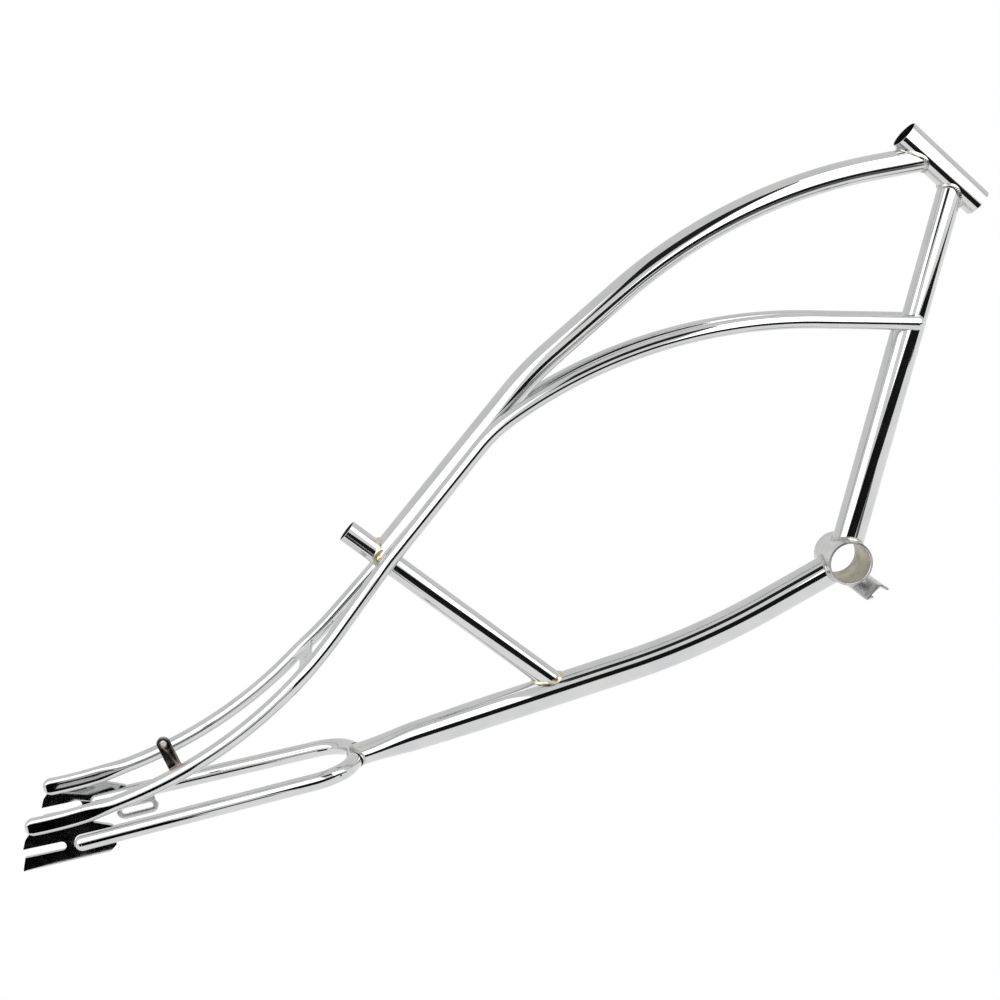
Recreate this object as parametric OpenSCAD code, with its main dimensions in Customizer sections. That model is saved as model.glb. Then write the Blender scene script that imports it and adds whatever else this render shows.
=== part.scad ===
// Stretched cruiser bicycle frame: bent and welded round tubes, plate dropouts and small fittings.
// X points forward, Y to the rider's left and Z up. The origin is the centre of the bottom bracket
// shell. A "rise" is the slope of a rearward heading: positive climbs, negative falls.

/* [Bottom bracket shell] */
// Length of the shell across the frame
shell_length = 68; // [60:1:84]
// Bore of the shell
shell_bore = 51.3; // [48:0.1:54]
// Wall of the shell
shell_wall = 2.95; // [2:0.05:5]

/* [Head tube] */
// Length of the head tube
head_length = 128.7; // [105:0.1:170]
// Outer diameter of the head tube
head_od = 36; // [35:0.1:42]
// Bore for the headset cups
head_bore = 34; // [30:0.1:34.2]
// Slope of the steering axis above the horizontal
head_slope = 59.5; // [56:0.5:66]

/* [Down tube] */
// Distance from the shell's axis to the steering axis
down_length = 490.5; // [410:0.5:590]
// Slope of the down tube above the horizontal
down_slope = 57.05; // [53:0.05:60]
// Outer diameter of the lower down tube
down_lower_od = 40; // [35:0.1:44]
// Outer diameter of the upper down tube
down_upper_od = 31.8; // [28.6:0.1:34]
// Distance from the shell's axis to the step between the two
down_step = 311; // [260:1:360]
// Height of the joint above the foot of the head tube, along its axis
down_joint = 43.4; // [38:0.1:60]

/* [Top tube] */
// Outer diameter of the top tube
top_od = 31.8; // [28.6:0.1:34]
// Distance of its joint below the top of the head tube, along its axis
top_joint = 42.7; // [25:0.1:50]
// Rise of its front stretch
top_rise = 8.8; // [4:0.1:14]
// Radius of its front bend
top_front_radius = 660; // [500:5:800]
// Angle of its front bend
top_front_bend = 30.7; // [25:0.1:35]
// Straight length between its two bends
top_middle = 112; // [60:1:160]
// Radius of its rear bend
top_rear_radius = 400; // [300:5:500]
// Angle of its rear bend
top_rear_bend = 9.9; // [6:0.1:14]

/* [Seat tube] */
// Outer diameter of the seat tube
seat_od = 28.6; // [25.4:0.1:31.8]
// Bore for the seat post
seat_bore = 25.4; // [22.2:0.1:27.2]
// Depth to which the bore is reamed for the seat post
seat_reamed = 200; // [160:1:240]
// Length of the seat tube from the bottom tube's axis to its open end
seat_length = 341.6; // [300:0.1:410]
// Slope of the seat tube above the horizontal
seat_slope = 57; // [53:0.5:62]
// Distance of its foot behind the bend of the bottom tube
seat_foot = 86.5; // [60:0.5:110]
// Distance of the top tube's joint below the open end
seat_joint = 53.6; // [40:0.1:70]
// Width of the slot that lets the seat clamp close
seat_slot = 3; // [2:0.5:4]

/* [Bottom tube] */
// Outer diameter of the bottom tube
bottom_od = 40; // [35:0.1:44]
// Outer diameter at its rear end
bottom_end_od = 34; // [30:0.1:40]
// Length of the taper at its rear end
bottom_taper = 180; // [120:1:220]
// Drop of its axis below the shell's axis
bottom_offset = 3.5; // [0:0.5:6]
// Rise of its front stretch
bottom_rise = -10; // [-14:0.5:-6]
// Straight length before its bend
bottom_front = 112; // [90:1:140]
// Radius of its bend
bottom_radius = 950; // [800:10:1200]
// Angle of its bend
bottom_bend = 12; // [8:0.5:16]
// Length from its bend to the crosspiece of the chain stay loop
bottom_tail = 363; // [300:1:430]

/* [Twin tubes and seat stays] */
// Outer diameter of the twin tubes
stay_od = 19; // [16:0.1:22]
// Rise of their front stretch
stay_rise = 20.5; // [16:0.1:24]
// Distance of their front ends from the shell's axis, along the down tube
stay_joint = 311; // [280:1:340]
// Radius of the long crest bend
crest_radius = 633; // [500:1:760]
// Angle of the long crest bend
crest_bend = 36.55; // [32:0.05:40]
// Radius of the shoulder bend
shoulder_radius = 193; // [150:1:240]
// Angle of the shoulder bend
shoulder_bend = 16.2; // [12:0.1:20]
// Angle at which the stays splay apart
splay = 16; // [13:0.5:20]
// Radius of the splay bends
splay_radius = 110; // [80:5:140]
// Radius of the rear sweep
sweep_radius = 575; // [460:5:690]
// Angle of the sweep inside the splayed stretch
sweep_entry = 5.3; // [4:0.1:7]
// Angle of the sweep behind the splayed stretch
sweep_bend = 35.9; // [30:0.1:40]
// Height of the flattened stay end
flat_height = 22.7; // [19:0.1:26]
// Thickness of the flattened stay end
flat_thickness = 12.5; // [10:0.1:16]
// Length over which a stay end is flattened, up to the centre of its round tip
flat_length = 82; // [60:1:100]

/* [Chain stay loop] */
// Outer diameter of the loop's tube
loop_od = 21; // [19:0.1:24]
// Radius of the loop's two bends
loop_radius = 52; // [40:1:60]
// Half of the straight crosspiece
loop_cross = 10; // [4:1:20]
// Outward splay of the legs
loop_splay = 2.2; // [1:0.1:4]
// Rise of the loop's plane
loop_rise = 6.65; // [4:0.05:9]
// Straight length of each leg
loop_leg = 290; // [240:1:340]

/* [Dropouts] */
// Distance between the inner faces of the dropouts
axle_width = 135; // [125:1:142]
// Thickness of a dropout
dropout_plate = 6; // [4:0.5:8]
// Width of the axle slot
axle_slot = 11; // [10:0.5:12]
// Rise of the axle slot
slot_rise = 8.6; // [4:0.1:14]
// Distance of the axle centre behind the leg's tip centre
axle_behind = 25; // [18:0.5:32]
// Distance of the axle centre above the leg's axis
axle_above = 1.6; // [0:0.1:4]
// Distance of the stay's tip centre behind the axle
tip_behind = 22.3; // [16:0.1:28]
// Distance of the stay's tip centre above the axle
tip_above = 34; // [30:0.1:38]

/* [Fittings] */
// Thickness of the kickstand plate
stand_plate = 3.5; // [2.5:0.5:5]
// Half of the kickstand plate's length across the frame
stand_half_length = 58; // [48:1:70]
// Width of the kickstand plate between its lips
stand_width = 25; // [20:1:32]
// Tilt of the kickstand plate, front edge up
stand_tilt = 24.6; // [15:0.1:30]
// Distance of the plate's middle below the shell's axis
stand_depth = 36; // [34:0.5:42]
// Distance of the plate's middle behind the shell's axis, along the plate
stand_back = 6.3; // [2:0.1:10]
// Hole for the kickstand bolt
stand_hole = 10.5; // [8.5:0.5:12]
// Thickness of the fender bridge
bridge_plate = 3.2; // [2.5:0.1:5]
// Width of the fender bridge at its middle
bridge_width = 20; // [14:1:26]
// Distance of the fender bridge ahead of the rear sweep
bridge_lead = 24; // [18:1:30]
// Hole for the fender bolt
fender_hole = 6.4; // [5.5:0.1:8.5]
// Hole of the eyelet on the right stay
eyelet_hole = 7; // [5:0.5:8]
// Height of the eyelet's hole above the stay's axis
eyelet_height = 42; // [36:1:52]
// Rise of the right stay where the eyelet stands
eyelet_spot = -9.3; // [-14:0.1:-4]
// Rearward lean of the eyelet
eyelet_lean = 4.7; // [0:0.1:10]
// Distance of the brake arm bracket ahead of the leg's tip centre
bracket_ahead = 47; // [38:1:60]
// Depth of its slot below the leg's axis
bracket_depth = 23; // [20:0.5:27]
// Width of the slot in the brake arm bracket
bracket_slot = 7.5; // [6:0.5:9]
// Length of the slot in the brake arm bracket, end to end
bracket_slot_length = 41; // [30:1:50]
// Thickness of the brake arm bracket
bracket_plate = 3; // [2:0.5:4]

/* [Welds] */
// Leg of the weld beads around the large tubes
bead = 3; // [2:0.5:5]
// Leg of the braze along the thin tubes
fillet = 2.4; // [2:0.1:4]

/* [Hidden] */
$fn = 64;

thick_wall = 1.6;        // wall of the 30 to 40 mm tubes
thin_wall = 1.2;         // wall of the twin tubes and the loop
shell_od = shell_bore + 2 * shell_wall;
unreamed = 1;            // how much narrower the seat tube's bore is below its reamed part
hair = 0.2;              // how far two stretches of a tube stop short of their joint
sleeve_half = 0.5;       // half the length of the sleeve over a joint
sleeve_lap = 0.02;       // how much the sleeve stands out, inside and outside
plug_skirt = 6;          // length of an end plug inside its tube
ring_height = 5;         // height of the ring that closes the lower down tube
reach = 400;             // longer than any tube is wide or any cut is deep
right = -1;
left = 1;

// Unit vectors of a heading with a given rise, in the side plane
function ahead(rise) = [-cos(rise), sin(rise)];
function above(rise) = [sin(rise), cos(rise)];
// How far a bend from one rise to another carries a tube
function bend_shift(radius, from, to) =
  radius * sign(to - from) * [sin(from) - sin(to), cos(from) - cos(to)];
function cross2(a, b) = a[0] * b[1] - a[1] * b[0];
// The two straight lengths, with rises a and b, that add up to a gap
function straights(gap, a, b) =
  [cross2(gap, ahead(b)), cross2(ahead(a), gap)] / cross2(ahead(a), ahead(b));

// Down tube and head tube
down_dir = [cos(down_slope), sin(down_slope)];
down_front = [sin(down_slope), -cos(down_slope)];
down_shift = (down_lower_od - down_upper_od) / 2;
head_dir = [-cos(head_slope), sin(head_slope)];
head_foot = down_length * down_dir + down_shift * down_front - down_joint * head_dir;
head_top = head_foot + head_length * head_dir;

// Bottom tube, seat tube and the crosspiece of the loop
bottom_tail_rise = bottom_rise + bottom_bend;
bottom_start = [0, -bottom_offset];
bottom_bent = bottom_start + bottom_front * ahead(bottom_rise)
  + bend_shift(bottom_radius, bottom_rise, bottom_tail_rise);
yoke = bottom_bent + bottom_tail * ahead(bottom_tail_rise);
seat_start = bottom_bent + seat_foot * ahead(bottom_tail_rise);
seat_knot = seat_start + (seat_length - seat_joint) * ahead(seat_slope);

// Top tube: its front and rear straights close the gap from the head tube to the seat tube
top_start = head_top - top_joint * head_dir;
top_middle_rise = top_rise - top_front_bend;
top_end_rise = top_middle_rise - top_rear_bend;
top_gap = seat_knot - top_start - bend_shift(top_front_radius, top_rise, top_middle_rise)
  - top_middle * ahead(top_middle_rise)
  - bend_shift(top_rear_radius, top_middle_rise, top_end_rise);
top_straight = straights(top_gap, top_rise, top_end_rise);
top_steps = [[top_straight[0], 180, top_front_radius, top_front_bend],
  [top_middle, 180, top_rear_radius, top_rear_bend], [top_straight[1], 0, 0, 0]];

// Chain stay loop and axle
leg_turn = 90 - loop_splay;
leg_tip_along = loop_radius * (1 - cos(leg_turn)) + loop_leg * cos(loop_splay);
leg_tip_y = loop_cross + loop_radius * sin(leg_turn) + loop_leg * sin(loop_splay);
leg_tip = yoke + leg_tip_along * ahead(loop_rise);
axle = leg_tip + axle_behind * ahead(loop_rise) + axle_above * above(loop_rise);
dropout_y = (axle_width + dropout_plate) / 2;

// Twin tubes: two straights close the gap from the down tube to the dropouts
stay_y = (top_od + stay_od) / 2;
stay_start = stay_joint * down_dir;
crest_rise = stay_rise - crest_bend;
stay_fall = crest_rise - shoulder_bend;
stay_tip = axle + [-tip_behind, tip_above];
splay_back = asin(cos(sweep_entry) * sin(splay));
splay_lean = atan2(sin(splay) * sin(sweep_entry), cos(splay));
sweep_rise = stay_fall + atan2(sin(sweep_entry), cos(sweep_entry) * cos(splay));
splay_side = splay_radius * (1 - cos(splay)) + sweep_radius * sin(splay) * sin(sweep_entry)
  + splay_radius * (1 - cos(splay_back));
splay_straight = (dropout_y - stay_y - splay_side) / sin(splay);
sweep_start = stay_tip - bend_shift(sweep_radius, sweep_rise, sweep_rise + sweep_bend);
splay_shift = (splay_radius * sin(splay) + splay_straight * cos(splay)
  + sweep_radius * sin(sweep_entry) * cos(splay)) * ahead(stay_fall)
  + sweep_radius * (1 - cos(sweep_entry)) * above(stay_fall)
  + splay_radius * sin(splay_back) * ahead(sweep_rise);
stay_gap = sweep_start - splay_shift - stay_start
  - bend_shift(crest_radius, stay_rise, crest_rise)
  - bend_shift(shoulder_radius, crest_rise, stay_fall);
stay_straight = straights(stay_gap, stay_rise, stay_fall);
flat_angle = flat_length / sweep_radius * 180 / PI;

// Directions are 0 up, 180 down, 90 left and -90 right
function stay_steps(side) = [[stay_straight[0], 180, crest_radius, crest_bend],
  [0, 180, shoulder_radius, shoulder_bend],
  [stay_straight[1], side * 90, splay_radius, splay],
  [splay_straight, 0, sweep_radius, sweep_entry],
  [0, side * (splay_lean - 90), splay_radius, splay_back],
  [0, side * splay_lean, sweep_radius, sweep_bend - flat_angle]];

bridge_spot = sweep_start - bridge_lead * ahead(sweep_rise);

// Puts a shape at a point of the side plane, its Z axis along the heading and its X axis upward
module at_point(point, y, rise) {
  translate([point[0], y, point[1]]) rotate([0, rise - 90, 0]) children();
}

// Lays a flat outline, drawn in X and Z, at a distance y and gives it a thickness along Y
module plate_at(y, thickness) {
  translate([0, y + thickness / 2, 0]) rotate([90, 0, 0]) linear_extrude(thickness) children();
}

module pipe(od, bore, length) {
  difference() {
    cylinder(d = od, h = length);
    if (bore > 0) translate([0, 0, -1]) cylinder(d = bore, h = length + 2);
  }
}

module ring_outline(od, bore) {
  difference() {
    circle(d = od);
    if (bore > 0) circle(d = bore);
  }
}

module stadium(height, thickness) {
  square([height - thickness, thickness], center = true);
  for (end = [-1, 1]) translate([end * (height - thickness) / 2, 0]) circle(d = thickness);
}

// Sweeps an outline through a bend towards +X
module bend(radius, angle) {
  translate([radius, 0, 0]) rotate([90, 0, 180])
    rotate_extrude(angle = angle, $fn = 360) translate([radius, 0]) children();
}

// Carries its children to the end of such a bend
module after_bend(radius, angle) {
  translate([radius, 0, 0]) rotate([0, angle, 0]) translate([-radius, 0, 0]) children();
}

// Joins two stretches that stop a hair short of each other: it is a hair wider than both,
// so that no two faces coincide
module sleeve(od, bore) {
  translate([0, 0, -sleeve_half])
    pipe(od + 2 * sleeve_lap, bore > 0 ? bore - 2 * sleeve_lap : 0, 2 * sleeve_half);
}

// A bent tube: each step is a straight length, a direction, a bend radius and a bend angle
module bent_tube(steps, od, bore, i = 0) {
  if (i < len(steps)) {
    step = steps[i];
    lead = i > 0 ? hair : 0;
    trail = step[3] > 0 ? hair : 0;
    if (step[0] > 0) translate([0, 0, lead]) pipe(od, bore, step[0] - lead - trail);
    translate([0, 0, step[0]]) {
      if (step[0] > 0 && step[3] > 0) sleeve(od, bore);
      rotate([0, 0, step[1]]) {
        if (step[3] > 0) trimmed_bend(step[2], step[3], od, bore);
        after_bend(step[2], step[3]) rotate([0, 0, -step[1]]) {
          if (i + 1 < len(steps)) sleeve(od, bore);
          bent_tube(steps, od, bore, i + 1);
        }
      }
    }
  }
}

// A bend that stops a hair short at both ends
module trimmed_bend(radius, angle, od, bore) {
  trim = hair / radius * 180 / PI;
  after_bend(radius, trim) bend(radius, angle - 2 * trim) ring_outline(od, bore);
}

// Carries its children to the end of a bent tube
module after_tube(steps, i = 0) {
  if (i < len(steps))
    translate([0, 0, steps[i][0]]) rotate([0, 0, steps[i][1]])
      after_bend(steps[i][2], steps[i][3]) rotate([0, 0, -steps[i][1]])
        after_tube(steps, i + 1) children();
  else
    children();
}

// Solid outsides of the tubes, used for the tubes, the cuts and the weld beads.
// grow widens a tube; hollow leaves its bore open.
module shell_body(grow = 0) {
  rotate([90, 0, 0]) cylinder(d = shell_od + 2 * grow, h = shell_length + 2 * grow, center = true);
}

module head_body(grow = 0) {
  at_point(head_foot, 0, head_slope) cylinder(d = head_od + 2 * grow, h = head_length);
}

module down_lower_body(grow = 0, bore = 0) {
  rotate([0, 90 - down_slope, 0]) pipe(down_lower_od + 2 * grow, bore, down_step);
}

module down_upper_body(grow = 0, bore = 0) {
  rotate([0, 90 - down_slope, 0]) translate([down_shift, 0, down_step + ring_height])
    pipe(down_upper_od + 2 * grow, bore, down_length - down_step - ring_height);
}

module top_body(grow = 0, bore = 0) {
  at_point(top_start, 0, top_rise) bent_tube(top_steps, top_od + 2 * grow, bore);
}

module seat_body(grow = 0, bore = 0) {
  at_point(seat_start, 0, seat_slope) pipe(seat_od + 2 * grow, bore, seat_length);
}

module bottom_body(grow = 0, wall = 0) {
  bore = wall > 0 ? bottom_od - 2 * wall : 0;
  at_point(bottom_start, 0, bottom_rise)
    bent_tube([[bottom_front, 0, bottom_radius, bottom_bend],
      [bottom_tail - bottom_taper - hair, 0, 0, 0]], bottom_od + 2 * grow, bore);
  at_point(bottom_bent + (bottom_tail - bottom_taper) * ahead(bottom_tail_rise), 0,
    bottom_tail_rise) {
      sleeve(bottom_od + 2 * grow, bore);
      translate([0, 0, hair]) difference() {
        cylinder(d1 = bottom_od + 2 * grow, d2 = bottom_end_od + 2 * grow,
          h = bottom_taper - hair);
        if (wall > 0) translate([0, 0, -0.01])
          cylinder(d1 = bottom_od - 2 * wall, d2 = bottom_end_od - 2 * wall, h = bottom_taper);
      }
    }
}

// The loop starts at the tip of the right leg and runs forward
module loop_body(grow = 0, bore = 0) {
  at_point(yoke, 0, loop_rise) translate([0, -leg_tip_y, leg_tip_along])
    rotate([180 + loop_splay, 0, 0])
      bent_tube([[loop_leg, -90, loop_radius, leg_turn],
        [2 * loop_cross, -90, loop_radius, leg_turn], [loop_leg, 0, 0, 0]],
        loop_od + 2 * grow, bore);
}

module stay_round(side, grow = 0, bore = 0) {
  at_point(stay_start, side * stay_y, stay_rise)
    bent_tube(stay_steps(side), stay_od + 2 * grow, bore);
}

// The pressed end of a stay behind its round stretch: a bulkhead where it changes section, a
// flattened stretch along the sweep and a closed round tip
module stay_pressed(side, grow = 0, wall = 0) {
  trim = hair / sweep_radius * 180 / PI;
  at_point(stay_start, side * stay_y, stay_rise) after_tube(stay_steps(side))
    rotate([0, 0, side * splay_lean]) {
      translate([0, 0, -sleeve_half]) linear_extrude(2 * sleeve_half) {
        circle(d = stay_od + 2 * grow + 2 * sleeve_lap);
        flat_ring(grow + sleeve_lap, 0);
      }
      after_bend(sweep_radius, trim) bend(sweep_radius, flat_angle - 2 * trim)
        flat_ring(grow, wall);
      after_bend(sweep_radius, flat_angle) {
        translate([0, 0, -sleeve_half]) linear_extrude(2 * sleeve_half)
          flat_ring(grow + sleeve_lap, wall > 0 ? wall + sleeve_lap : 0);
        translate([0, 0, hair]) stay_tip_round(grow);
      }
    }
}

// The flattened section, widened by grow and hollow if it has a wall
module flat_ring(grow, wall) {
  difference() {
    stadium(flat_height + 2 * grow, flat_thickness + 2 * grow);
    if (wall > 0) stadium(flat_height - 2 * wall, flat_thickness - 2 * wall);
  }
}

// Half of a disc with a round rim, behind the end of the flattened section
module stay_tip_round(grow) {
  intersection() {
    rotate([90, 0, 0]) rotate_extrude() intersection() {
      stadium(flat_height + 2 * grow, flat_thickness + 2 * grow);
      translate([0, -flat_height]) square(2 * flat_height);
    }
    translate([-flat_height, -flat_height, 0]) cube(2 * flat_height);
  }
}

module dropout_outline() {
  slot_dir = ahead(slot_rise);
  slot_up = above(slot_rise);
  difference() {
    polygon([
      axle + [-54.5, -13.9], axle + [52, -27.5], axle + [61.6, -22], axle + [66.5, 2],
      axle + [47, 14], axle + [40, tip_above - 6], axle + [-tip_behind, tip_above],
      axle + [-38, 22.5], axle + 46 * slot_dir + axle_slot / 2 * slot_up,
      axle + 46 * slot_dir - axle_slot / 2 * slot_up
    ]);
    translate(axle) circle(d = axle_slot);
    translate(axle) rotate(-slot_rise) translate([-reach, -axle_slot / 2])
      square([reach, axle_slot]);
  }
}

module dropout_blank(side) {
  plate_at(side * dropout_y, dropout_plate) dropout_outline();
}

module dropout(side) {
  color("dimgray") difference() {
    dropout_blank(side);
    stay_pressed(side);
  }
}

module bb_shell() {
  color("gainsboro") rotate([90, 0, 0]) difference() {
    cylinder(d = shell_od, h = shell_length, center = true);
    cylinder(d = shell_bore, h = shell_length + 2, center = true);
  }
}

module head_tube() {
  color("silver") at_point(head_foot, 0, head_slope) pipe(head_od, head_bore, head_length);
}

module down_tube_lower() {
  color("silver") difference() {
    down_lower_body(bore = down_lower_od - 2 * thick_wall);
    shell_body();
  }
}

module down_tube_upper() {
  color("silver") difference() {
    down_upper_body(bore = down_upper_od - 2 * thick_wall);
    head_body();
  }
}

module down_ring_body(grow = 0) {
  rotate([0, 90 - down_slope, 0]) translate([0, 0, down_step])
    cylinder(d = down_lower_od + 2 * grow, h = ring_height);
}

module down_tube_ring() {
  color("silver") difference() {
    down_ring_body();
    rotate([0, 90 - down_slope, 0]) translate([0, 0, down_step - 1])
      cylinder(d = down_upper_od / 2, h = ring_height + 2);
  }
}

module top_tube() {
  color("silver") difference() {
    top_body(bore = top_od - 2 * thick_wall);
    head_body();
    seat_body();
  }
}

module seat_tube() {
  slot_length = 28;
  color("silver") difference() {
    seat_body(bore = seat_bore - unreamed);
    bottom_body();
    at_point(seat_start, 0, seat_slope) {
      translate([0, 0, seat_length - seat_reamed]) cylinder(d = seat_bore, h = reach);
      translate([-seat_od, -seat_slot / 2, seat_length - slot_length])
        cube([seat_od, seat_slot, reach]);
    }
  }
}

module bottom_tube() {
  color("silver") difference() {
    bottom_body(wall = thick_wall);
    shell_body();
    loop_body();
  }
}

module stay_tube(side) {
  color("silver") difference() {
    union() {
      stay_round(side, bore = stay_od - 2 * thin_wall);
      stay_pressed(side, wall = thin_wall);
    }
    down_lower_body();
    down_ring_body();
    down_upper_body();
  }
}

// A domed plug with a skirt that fits the bore; the dome points back along the heading
module domed_plug(od, wall) {
  cylinder(d = od - 2 * wall, h = plug_skirt);
  intersection() {
    sphere(d = od);
    translate([0, 0, -od]) cylinder(d = 2 * od, h = od);
  }
}

module front_plug(side) {
  color("silver") difference() {
    at_point(stay_start, side * stay_y, stay_rise) domed_plug(stay_od, thin_wall);
    down_lower_body();
    down_ring_body();
    down_upper_body();
  }
}

module chain_stay_loop() {
  color("silver") difference() {
    loop_body(bore = loop_od - 2 * thin_wall);
    dropout_blank(right);
    dropout_blank(left);
  }
}

module leg_plug(side) {
  color("silver") difference() {
    at_point(leg_tip, side * leg_tip_y, loop_rise)
      rotate([-side * loop_splay, 0, 0]) rotate([180, 0, 0]) domed_plug(loop_od, thin_wall);
    dropout_blank(side);
  }
}

// Frame of the kickstand plate: X forward along the plate, Z square to it, origin on its top face
module at_stand() {
  rotate([0, -stand_tilt, 0]) translate([-stand_back, 0, -stand_depth]) children();
}

module kickstand_plate() {
  rear_lip = 9;
  rear_lip_angle = 150;
  front_lip = 11;
  front_lip_angle = 71;
  color("gainsboro") at_stand() difference() {
    plate_at(0, 2 * stand_half_length) translate([0, -stand_plate / 2]) {
      square([stand_width, stand_plate], center = true);
      for (lip = [[-1, rear_lip, rear_lip_angle], [1, front_lip, front_lip_angle]])
        translate([lip[0] * stand_width / 2, 0]) {
          circle(d = stand_plate);
          rotate(lip[0] > 0 ? -lip[2] : 180 + 180 - lip[2])
            translate([0, -stand_plate / 2]) square([lip[1], stand_plate]);
        }
    }
    translate([0, 0, -reach / 2]) cylinder(d = stand_hole, h = reach);
  }
}

module kickstand_boss() {
  boss_od = 22;
  thread_hole = 8.5;     // core of the M10 thread
  color("gainsboro") difference() {
    at_stand() cylinder(d = boss_od, h = stand_depth);
    shell_body();
    at_stand() translate([0, 0, -reach / 2]) cylinder(d = thread_hole, h = reach);
  }
}

module fender_bridge() {
  leg_reach = 16;        // how far the bridge's legs run back past its middle
  half_span = dropout_y - stay_od / 2 + 1.5;
  arch = (half_span * half_span + leg_reach * leg_reach) / (2 * leg_reach);
  color("silver") difference() {
    at_point(bridge_spot, 0, sweep_rise) rotate([0, 90, 0])
      linear_extrude(bridge_plate, center = true) difference() {
        translate([-bridge_width / 2 - leg_reach, -half_span])
          square([bridge_width + leg_reach, 2 * half_span]);
        translate([-bridge_width / 2 - arch, 0]) circle(r = arch);
        circle(d = fender_hole);
      }
    stay_round(right);
    stay_round(left);
  }
}

module stay_eyelet() {
  tab_width = 17;
  tab_plate = 3;
  arc_centre = sweep_start + sweep_radius * above(sweep_rise);
  foot = arc_centre - sweep_radius * above(eyelet_spot);
  color("gray") difference() {
    at_point(foot, right * (dropout_y - tab_plate), -eyelet_lean) rotate([90, 0, 0])
      linear_extrude(tab_plate, center = true) difference() {
        union() {
          translate([0, -tab_width / 2]) square([eyelet_height, tab_width]);
          translate([eyelet_height, 0]) circle(d = tab_width);
        }
        translate([eyelet_height, 0]) circle(d = eyelet_hole);
      }
    stay_round(right);
  }
}

module brake_arm_bracket() {
  rim = 7;               // metal around the slot
  web_length = 50;
  slot_travel = bracket_slot_length - bracket_slot;
  spot = leg_tip - bracket_ahead * ahead(loop_rise);
  spot_y = leg_tip_y - bracket_ahead * tan(loop_splay);
  color("lightgray") difference() {
    at_point(spot, spot_y, loop_rise) rotate([90, 0, 0])
      linear_extrude(bracket_plate, center = true) difference() {
        union() {
          translate([-bracket_depth, -web_length / 2]) square([bracket_depth, web_length]);
          slot_shape(slot_travel, bracket_slot + 2 * rim);
        }
        slot_shape(slot_travel, bracket_slot);
      }
    loop_body();
  }
}

module slot_shape(travel, width) {
  translate([-bracket_depth, 0]) {
    square([width, travel], center = true);
    for (end = [-1, 1]) translate([0, end * travel / 2]) circle(d = width);
  }
}

// A weld bead fills the corner where two tubes, each widened by the bead, overlap outside both
module head_top_weld() {
  color("silver") difference() {
    intersection() {
      head_body(bead);
      top_body(bead);
    }
    head_body();
    top_body();
  }
}

module head_down_weld() {
  color("silver") difference() {
    intersection() {
      head_body(bead);
      down_upper_body(bead);
    }
    head_body();
    down_upper_body();
  }
}

module shell_front_weld() {
  color("silver") difference() {
    intersection() {
      shell_body(bead);
      down_lower_body(bead);
    }
    shell_body();
    down_lower_body();
  }
}

module shell_rear_weld() {
  color("silver") difference() {
    intersection() {
      shell_body(bead);
      bottom_body(bead);
    }
    shell_body();
    bottom_body();
  }
}

module seat_foot_weld() {
  color("khaki") difference() {
    intersection() {
      seat_body(bead);
      bottom_body(bead);
    }
    seat_body();
    bottom_body();
  }
}

module seat_top_weld() {
  color("khaki") difference() {
    intersection() {
      seat_body(bead);
      top_body(bead);
    }
    seat_body();
    top_body();
    stay_round(right);
    stay_round(left);
  }
}

module yoke_weld() {
  color("silver") difference() {
    intersection() {
      loop_body(bead);
      bottom_body(bead);
    }
    loop_body();
    bottom_body(wall = thick_wall);
  }
}

module stay_front_weld(side) {
  color("silver") difference() {
    intersection() {
      at_point(stay_start, side * stay_y, stay_rise) union() {
        cylinder(d = stay_od + 2 * fillet, h = down_lower_od);
        sphere(d = stay_od + 2 * fillet);
      }
      union() {
        down_lower_body(fillet);
        down_ring_body(fillet);
        down_upper_body(fillet);
      }
    }
    at_point(stay_start, side * stay_y, stay_rise) union() {
      cylinder(d = stay_od, h = 2 * down_lower_od);
      sphere(d = stay_od);
    }
    down_lower_body();
    down_ring_body();
    down_upper_body();
  }
}

module stay_braze(side) {
  braze_length = 46;
  color("khaki") difference() {
    intersection() {
      stay_round(side, fillet);
      union() {
        seat_body(fillet);
        top_body(fillet);
      }
      translate([seat_knot[0], 0, seat_knot[1]]) rotate([0, 90 - seat_slope, 0])
        cube([reach, reach, braze_length], center = true);
    }
    stay_round(side);
    seat_body();
    top_body();
    seat_top_weld();
  }
}

bb_shell();
head_tube();
down_tube_lower();
down_tube_upper();
down_tube_ring();
top_tube();
seat_tube();
bottom_tube();
stay_tube(right);  // stay_tube_right
stay_tube(left);  // stay_tube_left
front_plug(right);  // front_plug_right
front_plug(left);  // front_plug_left
chain_stay_loop();
leg_plug(right);  // leg_plug_right
leg_plug(left);  // leg_plug_left
dropout(right);  // dropout_right
dropout(left);  // dropout_left
kickstand_plate();
kickstand_boss();
fender_bridge();
stay_eyelet();
brake_arm_bracket();
head_top_weld();
head_down_weld();
shell_front_weld();
shell_rear_weld();
seat_foot_weld();
seat_top_weld();
yoke_weld();
stay_front_weld(right);  // stay_front_weld_right
stay_front_weld(left);  // stay_front_weld_left
stay_braze(right);  // stay_braze_right
stay_braze(left);  // stay_braze_left
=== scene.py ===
import math

import bmesh
import bpy
import numpy as np
from mathutils import Matrix


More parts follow.
